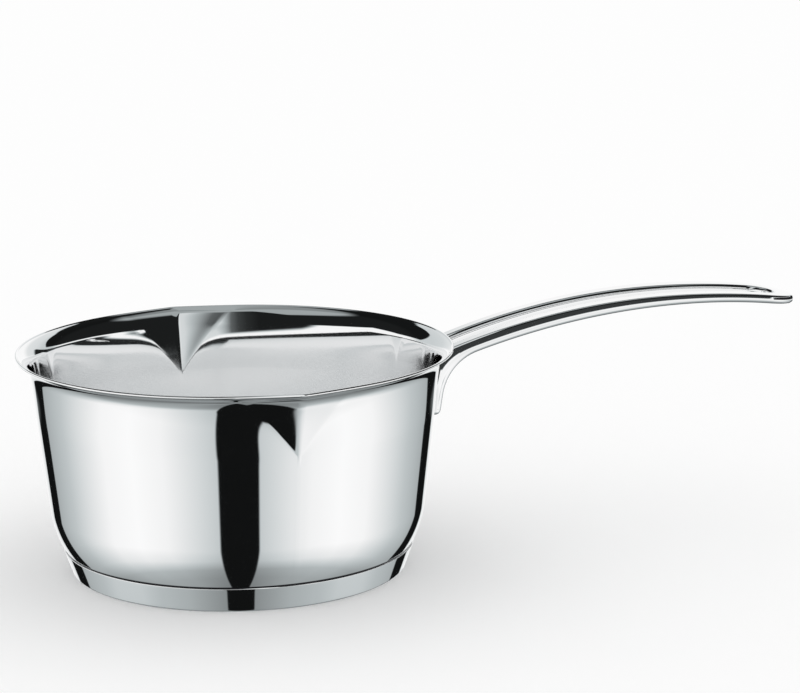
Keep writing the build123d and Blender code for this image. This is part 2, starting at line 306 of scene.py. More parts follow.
# Averaging that rounds off the groove: its rounds, the columns over which it fades towards the
# fold, and how far a point moves each time towards its neighbours beside and beyond it
SOFTEN_ROUNDS = 24
SOFTEN_FADE_COLUMNS = 5
BESIDE_SHARE = 1 / 4
BEYOND_SHARE = 1 / 6


class BowlProfile:
    """Radius against height of the bowl's outside, worked out from its sizes."""

    def __init__(self, bowl):
        self.bowl = bowl
        taper, flare = bowl.wall_taper, bowl.flare_angle
        self.wall_radius = bowl.rim_radius - bowl.flare_reach
        self.flare_radius = bowl.flare_reach / (cos(taper) - cos(flare))
        flare_rise = self.flare_radius * (sin(flare) - sin(taper))
        self.wall_top = bowl.height - flare_rise - bowl.sheet * sin(flare)
        self.flare_centre = (
            bowl.rim_radius + self.flare_radius * cos(flare),
            bowl.height - (bowl.sheet + self.flare_radius) * sin(flare),
        )
        belly_top = self.wall_r(bowl.belly_height)
        self.belly_centre = (
            belly_top - bowl.belly_radius * cos(taper),
            bowl.belly_height + bowl.belly_radius * sin(taper),
        )
        corner_z = bowl.bottom + bowl.corner_radius
        corner_r = self.belly_centre[0] + sqrt(
            (bowl.belly_radius - bowl.corner_radius) ** 2 - (self.belly_centre[1] - corner_z) ** 2
        )
        self.corner_centre = (corner_r, corner_z)
        self.belly_end = atan2(corner_z - self.belly_centre[1], corner_r - self.belly_centre[0])
        self.groove_tip = bowl.height - bowl.lip_depth

    def wall_r(self, z):
        """Outer radius of the straight wall at a height."""
        return self.wall_radius - (self.wall_top - z) * tan(self.bowl.wall_taper)

    def belly_r(self, z):
        """Outer radius of the bowl low down, on its belly or its corner curve."""
        r, centre_z = self.belly_centre
        if z >= centre_z + self.bowl.belly_radius * sin(self.belly_end):
            return r + sqrt(self.bowl.belly_radius**2 - (z - centre_z) ** 2)
        corner_r, corner_z = self.corner_centre
        return corner_r + sqrt(self.bowl.corner_radius**2 - (corner_z - z) ** 2)

    def turned_part(self, inset):
        """(r, z) from near the axis along the floor, the corner, the belly and the wall."""
        floor = self.bowl.bottom + inset
        corner = self.bowl.corner_radius - inset
        belly = self.bowl.belly_radius - inset
        taper = self.bowl.wall_taper
        tip_z = self.groove_tip + inset * sin(taper)
        wall_foot = (
            self.belly_centre[0] + belly * cos(taper),
            self.belly_centre[1] - belly * sin(taper),
        )
        tip = (wall_foot[0] + (tip_z - wall_foot[1]) * tan(taper), tip_z)
        return np.concatenate(
            [
                from_axis(self.corner_centre[0], floor, FLOOR_STEPS)[:-1],
                arc(self.corner_centre, corner, -pi / 2, self.belly_end, CORNER_STEPS, False),
                arc(self.belly_centre, belly, self.belly_end, -taper, BELLY_STEPS, False),
                straight(wall_foot, tip, WALL_STEPS, False),
            ]
        )


def quarter_ring(x, y):
    """Mirrors points of the quarter from +X to +Y into a whole ring, anticlockwise."""
    return np.concatenate(
        [
            np.stack([x[..., :-1], y[..., :-1]], -1),
            np.stack([-x[..., :0:-1], y[..., :0:-1]], -1),
            np.stack([-x[..., :-1], -y[..., :-1]], -1),
            np.stack([x[..., :0:-1], -y[..., :0:-1]], -1),
        ],
        axis=-2,
    )


def lip_ring(radius, reach, flank, bow, nose):
    """Rings (rows, columns, 2) of the bowl with its lips, for columns of row values.

    With phi the angle from the lip's axis: the circle r (sin phi, cos phi) from a right angle
    down to reach, then a flank whose chord leans by the angle flank and which bows outwards by
    the parabola 4 s t (1 - t), then the fold, an arc of radius nose that the flank runs into.
    """
    radius, reach, nose = (np.asarray(value, float)[:, None] for value in (radius, reach, nose))
    fold_turn = flank - bow / 2
    corner = (radius * np.sin(reach), radius * np.cos(reach))
    fold_x = nose * sin(fold_turn)
    run = corner[0] - fold_x
    fold_y = corner[1] + run * tan(flank)
    fold_centre = fold_y - nose * cos(fold_turn)
    bulge = run / cos(flank) * tan(bow / 2) / 4
    phi = pi / 2 + (reach - pi / 2) * evenly(0, 1, CIRCLE_STEPS)[None, :]
    along = evenly(0, 1, FLANK_STEPS)[None, 1:]
    bowed = 4 * bulge * along * (1 - along)
    turn = evenly(fold_turn, 0, FOLD_STEPS)[None, 1:]
    x = [
        radius * np.sin(phi),
        corner[0] - along * run + bowed * sin(flank),
        nose * np.sin(turn),
    ]
    y = [
        radius * np.cos(phi),
        corner[1] + along * (fold_y - corner[1]) + bowed * cos(flank),
        fold_centre + nose * np.cos(turn),
    ]
    return quarter_ring(np.concatenate(x, 1), np.concatenate(y, 1))


def plain_ring(radius, reach):
    """Circles whose columns match those of lip_ring where the groove has run out."""
    radius = np.asarray(radius, float)[:, None]
    phi = np.concatenate(
        [
            evenly(pi / 2, reach, CIRCLE_STEPS),
            evenly(reach, reach * TIP_FOLD_SHARE, FLANK_STEPS)[1:],
            evenly(reach * TIP_FOLD_SHARE, 0, FOLD_STEPS)[1:],
        ]
    )[None, :]
    return quarter_ring(radius * np.sin(phi), radius * np.cos(phi))


def raise_ring(ring, heights):
    """Adds a height to each row of a flat ring."""
    z = np.broadcast_to(np.asarray(heights, float)[:, None, None], (*ring.shape[:2], 1))
    return np.concatenate([ring, z], axis=-1)


def flare_rows(profile, lean, inset, run):
    """Rows of the flare where its outside leans by an angle, set in and run on from there."""
    bowl = profile.bowl
    lean, inset, run = np.broadcast_arrays(*(np.asarray(v, float) for v in (lean, inset, run)))
    radius = profile.flare_centre[0] - profile.flare_radius * np.cos(lean)
    height = profile.flare_centre[1] + profile.flare_radius * np.sin(lean)
    turned = (lean - bowl.wall_ease) / (bowl.flare_angle - bowl.wall_ease)
    rim_reach = bowl.lip_flank + bowl.lip_bow / 2
    reach = bowl.lip_reach + (rim_reach - bowl.lip_reach) * turned
    sideways = inset * np.cos(lean) - run * np.sin(lean)
    inner_line = radius * np.cos(reach - bowl.lip_flank) - sideways
    slack = np.arccos(np.minimum(1, inner_line / (radius - sideways)))
    reach = bowl.lip_flank + np.where(reach > bowl.lip_flank, slack, -slack)
    shape = (bowl.lip_flank, bowl.lip_bow, bowl.lip_nose - sideways)
    ring = lip_ring(radius - sideways, reach, *shape)
    return raise_ring(ring, height + inset * np.sin(lean) + run * np.cos(lean))


def groove_rows(profile, inset):
    """Rows from the groove's tip to the flare's foot.

    They are the straight lines between the two rings, t along, less a cubic hollow in radius,
    a t (1 - t) + b t t (1 - t), that meets the wall below and the flare above without a crease.
    """
    bowl = profile.bowl
    tip_z = profile.groove_tip + inset * sin(bowl.wall_taper)
    tip_r = profile.wall_r(profile.groove_tip) - inset * cos(bowl.wall_taper)
    tip = raise_ring(plain_ring([tip_r], bowl.lip_reach * TIP_REACH_SHARE), [tip_z])
    foot = flare_rows(profile, [bowl.wall_ease], inset, 0)
    up = evenly(0, 1, GROOVE_STEPS, last=False)[:, None, None]
    rows = tip + up * (foot - tip)
    rise = foot[0, 0, 2] - tip_z
    lean = (foot[0, 0, 0] - tip_r) / rise
    at_tip = rise * (lean - tan(bowl.wall_taper))
    at_foot = rise * (tan(bowl.wall_ease) - lean)
    hollow = at_tip * up * (1 - up) + (at_foot - at_tip) * up**2 * (1 - up)
    rows[..., :2] *= 1 - hollow / tip_r
    return soften(rows, foot)


def soften(rows, foot):
    """Rounds off the groove where it leaves the wall.

    The bulge, each point's radius less that of its plain row, is averaged with its neighbours
    again and again, between no bulge below the tip and the bulge of the flare's foot.
    """
    radius = np.hypot(rows[..., 0], rows[..., 1])
    foot_radius = np.hypot(foot[..., 0], foot[..., 1])
    below = np.zeros((1, rows.shape[1]))
    bulge = np.concatenate([below, radius - radius[:, :1], foot_radius - foot_radius[:, :1]])
    from_fold = np.abs(np.arange(rows.shape[1]) % (2 * QUARTER_STEPS) - QUARTER_STEPS)
    fade = np.clip((from_fold - FOLD_STEPS - 1) / SOFTEN_FADE_COLUMNS, 0, 1)
    for _ in range(SOFTEN_ROUNDS):
        beside = (np.roll(bulge, 1, axis=1) + np.roll(bulge, -1, axis=1)) / 2 - bulge
        beyond = (bulge[:-2] + bulge[2:]) / 2 - bulge[1:-1]
        bulge[1:-1] += BESIDE_SHARE * (fade * beside)[1:-1] + BEYOND_SHARE * beyond
    rows[..., :2] *= ((radius[:, :1] + bulge[1:-1]) / radius)[..., None]
    return rows


def rim_rows(profile):
    """Rows over the rim as (inset, run) from the flare's end: an arc on each edge, then the bead.

    The cut leans, so run grows by inset times the tangent of its lean.  The bead falls back to
    the sheet by 1 - 3 t^2 + 2 t^3.  Behind the flare's end the flare curves away from its
    tangent by run^2 over twice its radius.
    """
    bowl = profile.bowl
    lower, upper = bowl.rim_low_rounding, bowl.rim_rounding
    top = bowl.sheet + bowl.rim_bead
    low = arc((lower, -lower), lower, pi, pi / 2, RIM_LOW_STEPS)
    high = arc((top - upper, -upper), upper, pi / 2, 0, RIM_STEPS)
    along = evenly(0, 1, BEAD_STEPS)[1:]
    fall = 1 - 3 * along**2 + 2 * along**3
    back = np.stack([bowl.sheet + bowl.rim_bead * fall, -upper - bowl.bead_run * along], -1)
    edge = np.concatenate([low, high, back])
    edge[:, 1] += edge[:, 0] * tan(bowl.rim_cut)
    edge[:, 0] -= np.minimum(edge[:, 1], 0) ** 2 / (2 * (profile.flare_radius + bowl.sheet))
    return flare_rows(profile, np.full(len(edge), bowl.flare_angle), edge[:, 0], edge[:, 1])


def bowl_side(profile, inset, short):
    """One face of the sheet, from near the axis to a short stretch before the flare's end."""
    bowl = profile.bowl
    rings = profile.turned_part(inset)
    lower = raise_ring(plain_ring(rings[:, 0], bowl.lip_reach * TIP_REACH_SHARE), rings[:, 1])
    last_lean = bowl.flare_angle - short / (profile.flare_radius + inset)
    lean = evenly(bowl.wall_ease, last_lean, FLARE_STEPS, last=False)
    return np.concatenate([lower, groove_rows(profile, inset), flare_rows(profile, lean, inset, 0)])


def bowl_grid(bowl):
    """The whole skin of the bowl, up its outside, over the rim and down its inside."""
    profile = BowlProfile(bowl)
    outside = bowl_side(profile, 0, bowl.rim_low_rounding)
    bead_foot = bowl.rim_rounding + bowl.bead_run - bowl.sheet * tan(bowl.rim_cut)
    inside = bowl_side(profile, bowl.sheet, bead_foot)
    return np.concatenate([outside, rim_rows(profile), inside[::-1]])


def satin_share(bowl, grid):
    """How satin each point is: 0 outside and on the flare, 1 down the inside of the wall.

    Between the flare's foot and a few millimetres below it the share rises by 3 s^2 - 2 s^3.
    """
    profile = BowlProfile(bowl)
    middle = len(grid) // 2
    depth = (profile.wall_top - bowl.satin_start - grid[..., 2]) / bowl.satin_fade
    depth = np.clip(depth, 0, 1)
    satin = 3 * depth**2 - 2 * depth**3
    satin[:middle] = 0
    return satin


# The base

# Steps along the capsule's outline, from the axis below, round it and back to the axis inside
UNDERSIDE_STEPS = 39
FOOT_ROUNDING_STEPS = 10
CAP_SIDE_STEPS = 8
EDGE_ROUNDING_STEPS = 8
CAP_INNER_SIDE_STEPS = 6
CAP_FLOOR_STEPS = 7

CAP_COLUMNS = 360


def base_outline(bowl, base):
    """(r, z) of the capsule, from near the axis below, up its side and down its inside."""
    profile = BowlProfile(bowl)
    top_r = profile.belly_r(base.height) + base.braze + base.sheet
    lean = atan2(base.draft, base.height)
    side = np.array((sin(lean), cos(lean)))
    foot = np.array((top_r - base.draft, 0.0))
    top = np.array((top_r, base.height))
    foot_cut = base.foot_rounding * tan(pi / 4 - lean / 2)
    foot_centre = (foot[0] - foot_cut, base.foot_rounding)
    edge_cut = base.edge_rounding * tan(pi / 4 + lean / 2)
    edge_centre = (top[0] - edge_cut, base.height - base.edge_rounding)
    inner_top = (top_r - base.sheet, base.height)
    inner_low = (inner_top[0] - base.draft * (base.height - base.sheet) / base.height, base.sheet)
    return np.concatenate(
        [
            from_axis(foot_centre[0], 0, UNDERSIDE_STEPS)[:-1],
            arc(foot_centre, base.foot_rounding, -pi / 2, -lean, FOOT_ROUNDING_STEPS),
            straight(foot + foot_cut * side, top - edge_cut * side, CAP_SIDE_STEPS)[1:-1],
            arc(edge_centre, base.edge_rounding, -lean, pi / 2, EDGE_ROUNDING_STEPS),
            straight(inner_top, inner_low, CAP_INNER_SIDE_STEPS),
            from_axis(*inner_low, CAP_FLOOR_STEPS)[-2::-1],
        ]
    )


def turned_grid(outline, columns):
    """Rings of an outline turned about the axis: (r cos t, r sin t, z)."""
    turn = evenly(0, 2 * pi, columns, last=False)[None, :]
    r, z = outline[:, :1], outline[:, 1:]
    return np.stack([r * np.cos(turn), r * np.sin(turn), np.repeat(z, columns, axis=1)], -1)


# The handle

# Steps along half of it, from the nose to the middle of its root
NOSE_STEPS = 40
RAIL_STEPS = 90
ROOT_STEPS = 30
BACK_STEPS = 12

# Turn round the slot's corner that is made while the outside runs back to the wall
CORNER_TURN = radians(52)

# Steps along the lower curve, on which the sections then find their places
TIP_ARC_STEPS = 200
ARCH_STEPS = 400
THROAT_STEPS = 80
FRONT_STEPS = 80
FOOT_ARC_STEPS = 30
FOOT_FLAT_STEPS = 40

# Steps round a section: the roundings, the two sides and the two faces
SLOT_ROUNDING_STEPS = 7
TOP_ROUNDING_STEPS = 6
UNDER_ROUNDING_STEPS = 9
OUTER_SIDE_STEPS = 8
SLOT_SIDE_STEPS = 6
FACE_STEPS = 12


class HandleForm:
    """Side curves and plan outline of the handle, worked out from its sizes."""

    def __init__(self, pan):
        self.shape = pan.handle
        self.profile = BowlProfile(pan.bowl)
        s, wall = self.shape, self.profile.wall_radius
        self.tip_x = wall + s.reach
        self.nose_x = self.tip_x - s.nose_width / 2
        self.crest = (wall + s.crest_reach, pan.bowl.height + s.crest_rise)
        self.under_crest = (self.crest[0] + s.under_shift, self.crest[1] - s.crest_thickness)
        self.slot_x = wall + s.slot_start
        self.root_x = wall - s.root_setback
        self.foot_z = pan.bowl.height - s.foot_drop
        self.outer = self.taper_line(self.root_x, s.root_width / 2, s.nose_width / 2)
        self.inner = self.taper_line(self.slot_x, s.slot_root_width / 2, s.slot_nose_width / 2)
        self.lower_points = self.lower_curve()

    def taper_line(self, root_x, root_half, nose_radius):
        """(x, half width, slope) of a side line that touches the round nose."""
        run = self.nose_x - root_x
        slope = asin(nose_radius / hypot(run, root_half)) - atan2(root_half, run)
        return root_x, root_half, slope

    def half_width(self, line, nose_radius, x):
        """Half width at x of an outline: its side line, then the round nose."""
        root_x, root_half, slope = line
        touch_x = self.nose_x - nose_radius * sin(slope)
        round_half = np.sqrt(np.maximum(0, nose_radius**2 - (x - self.nose_x) ** 2))
        return np.where(x < touch_x, root_half + (x - root_x) * tan(slope), round_half)

    def outer_half(self, x):
        return self.half_width(self.outer, self.shape.nose_width / 2, x)

    def inner_half(self, x):
        return self.half_width(self.inner, self.shape.slot_nose_width / 2, x)

    def top_radius(self, x):
        """Radius of the upper side: one long arc up to the crest and another beyond it."""
        return np.where(x < self.crest[0], self.shape.top_root_radius, self.shape.top_tip_radius)

    def top_z(self, x):
        """Height of the upper side."""
        radius = self.top_radius(x)
        return self.crest[1] - radius + np.sqrt(radius**2 - (x - self.crest[0]) ** 2)

    def top_normal(self, x):
        """Normal of the upper side, (x, z)."""
        slant = (x - self.crest[0]) / self.top_radius(x)
        return np.stack([slant, np.sqrt(1 - slant**2)], -1)

    def back_r(self, z):
        """Radius about the pan's axis of the back of the foot."""
        return self.profile.wall_r(z) + self.shape.weld_gap / cos(self.profile.bowl.wall_taper)

    def lower_curve(self):
        """Points (x, z, normal x, normal z) of the lower side, from the nose to the foot's back.

        Two long arcs, the throat's arc, the straight front of the foot, its end's arc and its
        flat end.  Each normal points out of the metal.
        """
        s = self.shape
        taper = s.foot_taper
        up = np.array((sin(taper), cos(taper)))
        front = np.array((cos(taper), -sin(taper)))
        foot = np.array((self.profile.wall_r(self.foot_z) + s.foot_thickness, self.foot_z))
        arch = np.array((self.under_crest[0], self.under_crest[1] - s.under_root_radius))
        start = foot + s.throat_radius * front - arch
        along = start @ up
        reach = s.under_root_radius - s.throat_radius
        throat_run = sqrt(along**2 - start @ start + reach**2) - along
        throat = foot + s.throat_radius * front + throat_run * up
        end_run = s.foot_end_radius * (1 - sin(taper)) / cos(taper)
        end = foot - s.foot_end_radius * front + end_run * up
        throat_turn = atan2(*(throat - arch)[::-1])
        tip = (self.under_crest[0], self.under_crest[1] - s.under_tip_radius)
        tip_turn = acos((self.tip_x + s.root_setback - tip[0]) / s.under_tip_radius)
        front_start, front_end = foot + throat_run * up, foot + end_run * up
        flat_start, flat_end = (end[0], self.foot_z), (self.root_x, self.foot_z)
        inwards = [
            round_stretch(tip, s.under_tip_radius, tip_turn, pi / 2, TIP_ARC_STEPS, -1),
            round_stretch(arch, s.under_root_radius, pi / 2, throat_turn, ARCH_STEPS, -1),
            round_stretch(throat, s.throat_radius, throat_turn, pi - taper, THROAT_STEPS, -1),
            flat_stretch(front_start, front_end, front, FRONT_STEPS),
            round_stretch(end, s.foot_end_radius, -taper, -pi / 2, FOOT_ARC_STEPS, 1),
            flat_stretch(flat_start, flat_end, (0, -1), FOOT_FLAT_STEPS),
        ]
        points = np.concatenate(inwards)
        step = np.hypot(*np.diff(points[:, :2], axis=0).T)
        return np.column_stack([points, np.concatenate([[0], np.cumsum(step)])])

    def lower_at(self, run):
        """(x, z, normal x, normal z) at a distance along the lower curve."""
        points = self.lower_points
        return np.stack([np.interp(run, points[:, 4], points[:, k]) for k in range(4)], -1)

    def lower_run(self, x):
        """Distance along the lower curve at which it has come in to x."""
        points = self.lower_points
        return np.interp(-x, -points[:, 0], points[:, 4])


def round_stretch(centre, radius, start, end, steps, facing):
    """Points and normals of an arc; facing is 1 where the metal is inside it, else -1."""
    out = unit(evenly(start, end, steps, last=False))
    return np.concatenate([np.asarray(centre) + radius * out, facing * out], -1)


def flat_stretch(start, end, normal, steps):
    """Points and normals of a straight stretch."""
    points = straight(start, end, steps, last=False)
    return np.concatenate([points, np.broadcast_to(normal, points.shape)], -1)


def rolled_edge(edge, first, second, radius, steps):
    """Points (rows, steps + 1, 3) of a ball's path along an edge between two faces.

    The ball's centre lies at edge - radius (m + n) / (1 + m n), with m and n the normals of the
    faces, and the arc turns evenly from the first normal to the second.
    """
    cosine = np.sum(first * second, -1, keepdims=True)
    centre = edge - radius * (first + second) / (1 + cosine)
    whole = np.arccos(np.clip(cosine, -1, 1))
    turn = evenly(0, 1, steps)
    weight_a = np.sin((1 - turn) * whole) / np.sin(whole)
    weight_b = np.sin(turn * whole) / np.sin(whole)
    normal = weight_a[..., None] * first[:, None] + weight_b[..., None] * second[:, None]
    return centre[:, None] + radius * normal


def lying(pairs):
    """Vectors (x, y, 0) from (x, y) pairs."""
    return np.insert(pairs, 2, 0.0, axis=-1)


def upright(pairs):
    """Vectors (x, 0, z) from (x, z) pairs."""
    return np.insert(pairs, 1, 0.0, axis=-1)


def tilted(normal, lean):
    """Level normals (n, 3) turned up by an angle: cos lean n + sin lean z."""
    return cos(lean) * normal + sin(lean) * np.array((0, 0, 1))


def crowned_side(start, end, start_normal, end_normal, steps):
    """Points between two rows: the cubic that leaves and arrives at right angles to a normal.

    Each end's tangent is the chord less its part along the normal, and the four weights are
    those of a Hermite cubic.
    """
    chord = end - start
    leave = chord - np.sum(chord * start_normal, -1, keepdims=True) * start_normal
    arrive = chord - np.sum(chord * end_normal, -1, keepdims=True) * end_normal
    t = evenly(0, 1, steps)[None, 1:-1, None]
    return (
        (1 + 2 * t) * (1 - t) ** 2 * start[:, None]
        + t * (1 - t) ** 2 * leave[:, None]
        + t**2 * (3 - 2 * t) * end[:, None]
        - t**2 * (1 - t) * arrive[:, None]
    )


def handle_grid(form):
    """The whole skin of the handle: closed sections (columns) round the slot (rows)."""
    half = half_handle(form)
    other = half[-2:0:-1] * np.array((1, -1, 1))
    return np.concatenate([half, other])


def half_handle(form):
    """Sections from the nose's middle (row 0) along +Y to the middle of the root."""
    s = form.shape
    stations = handle_stations(form)

    # The slot's two edges
    slot_edge = stations["slot"]
    slot_x = slot_edge[:, 0]
    wall_normal = lying(stations["slot_normal"])
    wall_up, wall_down = tilted(wall_normal, s.crown), tilted(wall_normal, -s.crown)
    slot_top = np.column_stack([slot_edge, form.top_z(slot_x)])
    top_normal = upright(form.top_normal(slot_x))
    slot_roll = (s.slot_rounding, SLOT_ROUNDING_STEPS)
    slot_top_arc = rolled_edge(slot_top, wall_up, top_normal, *slot_roll)
    slot_low = form.lower_at(form.lower_run(slot_x))
    slot_low_edge = np.column_stack([slot_edge, slot_low[:, 1]])
    slot_low_arc = rolled_edge(slot_low_edge, upright(slot_low[:, 2:]), wall_down, *slot_roll)

    # The outer edges
    outer_x, low_run = stations["outer_x"], stations["low_run"]
    side_normal = lying(stations["side_normal"])
    side_up, side_down = tilted(side_normal, s.crown), tilted(side_normal, -s.crown)
    outer_top = np.column_stack([outer_x, stations["outer_y"], form.top_z(outer_x)])
    top_normal = upright(form.top_normal(outer_x))
    top_roll = (s.top_rounding, TOP_ROUNDING_STEPS)
    outer_top_arc = rolled_edge(outer_top, top_normal, side_up, *top_roll)
    low = form.lower_at(low_run)
    low_y = np.where(stations["on_nose"], stations["outer_y"], form.outer_half(low[:, 0]))
    outer_low = np.column_stack([low[:, 0], low_y, low[:, 1]])
    under_roll = (s.under_rounding, UNDER_ROUNDING_STEPS)
    outer_low_arc = rolled_edge(outer_low, side_down, upright(low[:, 2:]), *under_roll)
    side_ends = (outer_top_arc[:, -1], outer_low_arc[:, 0])
    side = crowned_side(*side_ends, side_up, side_down, OUTER_SIDE_STEPS)
    outside = np.concatenate([outer_top_arc, side, outer_low_arc], axis=1)
    outside = settle_back(form, outside, stations["corner_row"], stations["squeeze"])

    # The upper and lower faces and the slot's side between those edges
    top_face = bridge_top(form, slot_top_arc[:, -1], outside[:, 0], FACE_STEPS)
    low_face = bridge_low(form, outside[:, -1], slot_low_arc[:, 0], stations, FACE_STEPS)
    slot_ends = (slot_low_arc[:, -1], slot_top_arc[:, 0])
    wall = crowned_side(*slot_ends, wall_down, wall_up, SLOT_SIDE_STEPS)
    return np.concatenate([slot_top_arc, top_face, outside, low_face, slot_low_arc, wall], axis=1)


def handle_stations(form):
    """Where each section stands: its point on the slot, and its outer places.

    The nose turns a quarter and the rails run straight.  Then the slot's point turns through
    most of its corner while the outer one runs back to the wall, and last the slot's point
    finishes the corner and crosses to the middle while the outer one stays.
    """
    s = form.shape
    nose_turn = evenly(0, pi / 2, NOSE_STEPS, last=False)
    nose_slot = np.array((form.nose_x, 0)) + s.slot_nose_width / 2 * unit(nose_turn)
    nose_x = form.nose_x + s.nose_width / 2 * np.cos(nose_turn)

    corner_x = form.slot_x + s.slot_corner
    slope = form.inner[2]
    corner_y = float(form.inner_half(corner_x)) - s.slot_corner / cos(slope)
    rail_end = corner_x - s.slot_corner * sin(slope)
    rail_x = evenly(form.nose_x, rail_end, RAIL_STEPS, last=False)
    rail_slot = np.column_stack([rail_x, form.inner_half(rail_x)])

    corner_start = pi / 2 + slope
    corner_split = corner_start + CORNER_TURN
    side_turn = evenly(corner_start, corner_split, ROOT_STEPS)
    turn = np.concatenate([side_turn, evenly(corner_split, pi, BACK_STEPS // 2)[1:]])
    root_slot = np.array((corner_x, corner_y)) + s.slot_corner * unit(turn)
    last_slot = straight((form.slot_x, corner_y), (form.slot_x, 0), BACK_STEPS // 2)[1:]
    rail_turn = np.full(len(rail_x), 1.5 * pi + slope)
    last_turn = np.full(len(last_slot), 2 * pi)
    slot_turn = np.concatenate([nose_turn + pi, rail_turn, turn + pi, last_turn])

    back_top = form.back_r(form.top_z(form.profile.wall_radius))
    back_x = sqrt(back_top**2 - float(form.outer_half(back_top)) ** 2)
    side_x = evenly(rail_end, back_x, ROOT_STEPS)
    outer_x = np.concatenate([nose_x, rail_x, side_x, np.full(BACK_STEPS, back_x)])
    outer_y = form.outer_half(outer_x)
    foot_r = form.back_r(form.foot_z)
    foot_x = sqrt(foot_r**2 - float(form.outer_half(foot_r)) ** 2)
    run_end = form.lower_run(foot_x)
    rail_run = form.lower_run(np.concatenate([nose_x, rail_x]))
    side_run = evenly(form.lower_run(rail_end), run_end, ROOT_STEPS)
    on_nose = np.arange(len(outer_x)) < len(nose_x)
    on_round = on_nose | (outer_x > form.nose_x - s.nose_width / 2 * sin(form.outer[2]))
    round_turn = np.arctan2(outer_y, outer_x - form.nose_x)
    return {
        "slot": np.concatenate([nose_slot, rail_slot, root_slot, last_slot]),
        "slot_normal": unit(slot_turn),
        "outer_x": outer_x,
        "outer_y": outer_y,
        "side_normal": unit(np.where(on_round, round_turn, pi / 2 + form.outer[2])),
        "low_run": np.concatenate([rail_run, side_run, np.full(BACK_STEPS, run_end)]),
        "on_nose": on_nose,
        "corner_row": len(nose_x) + len(rail_x) + ROOT_STEPS,
        "squeeze": np.append(np.ones(len(outer_x) - BACK_STEPS), evenly(1, 0, BACK_STEPS)[1:]),
    }


def settle_back(form, outside, corner, squeeze):
    """Lays the sections from the corner row on onto the back of the foot.

    There the outer points keep their heights as shares, draw in towards the middle with the row,
    and take x from the cone that the back follows: x = sqrt(r(z)^2 - y^2).
    """
    rows = outside[corner:].copy()
    y = outside[corner, :, 1] * squeeze[corner:, None]
    low = outside[corner, -1, 2]
    height = (outside[corner, :, 2] - low) / (outside[corner, 0, 2] - low)
    r_top = form.back_r(outside[corner, 0, 2])
    top = form.top_z(np.sqrt(r_top**2 - y[:, :1] ** 2))
    z = low + height[None, :] * (top - low)
    rows[:, :, 0] = np.sqrt(form.back_r(z) ** 2 - y**2)
    rows[:, :, 1] = y
    rows[:, :, 2] = z
    return np.concatenate([outside[:corner], rows])


def bridge_top(form, start, end, steps):
    """Points between two rows of the upper face: straight in plan, on the arch in height."""
    along = evenly(0, 1, steps)[None, 1:-1, None]
    plan = start[:, None, :2] + along * (end[:, None, :2] - start[:, None, :2])
    return np.concatenate([plan, form.top_z(plan[..., :1])], -1)


def bridge_low(form, start, end, stations, steps):
    """Points between two rows of the lower face: straight in distance along it and in y."""
    corner = stations["corner_row"]
    start_run = stations["low_run"].copy()
    start_run[corner:] = form.lower_run(start[corner:, 0])
    end_run = form.lower_run(end[:, 0])
    along = evenly(0, 1, steps)[None, 1:-1]
    run = start_run[:, None] + along * (end_run - start_run)[:, None]
    y = start[:, 1:2] + along * (end[:, 1:2] - start[:, 1:2])
    low = form.lower_at(run)
    return np.stack([low[..., 0], y, low[..., 1]], -1)


# Shader maths


class Value:
    """A number that varies over a surface or by direction; what is done with it adds nodes."""

    def __init__(self, shader, socket):
        self.shader = shader
        self.socket = socket

    def math(self, operation, other=0.0):
        """This number through a Math node, with another one where the operation takes two."""
        return self.shader.math(operation, self, other)

    def degrees(self):
        return self.math("DEGREES")

    def __abs__(self):
        return self.math("ABSOLUTE")

    def __add__(self, other):
        return self.math("ADD", other)

    def __radd__(self, other):
        return self.shader.math("ADD", other, self)

    def __sub__(self, other):
        return self.math("SUBTRACT", other)

    def __rsub__(self, other):
        return self.shader.math("SUBTRACT", other, self)

    def __mul__(self, other):
        return self.math("MULTIPLY", other)

    def __rmul__(self, other):
        return self.shader.math("MULTIPLY", other, self)

    def __truediv__(self, other):
        return self.math("DIVIDE", other)

    def __pow__(self, other):
        return self.math("POWER", other)


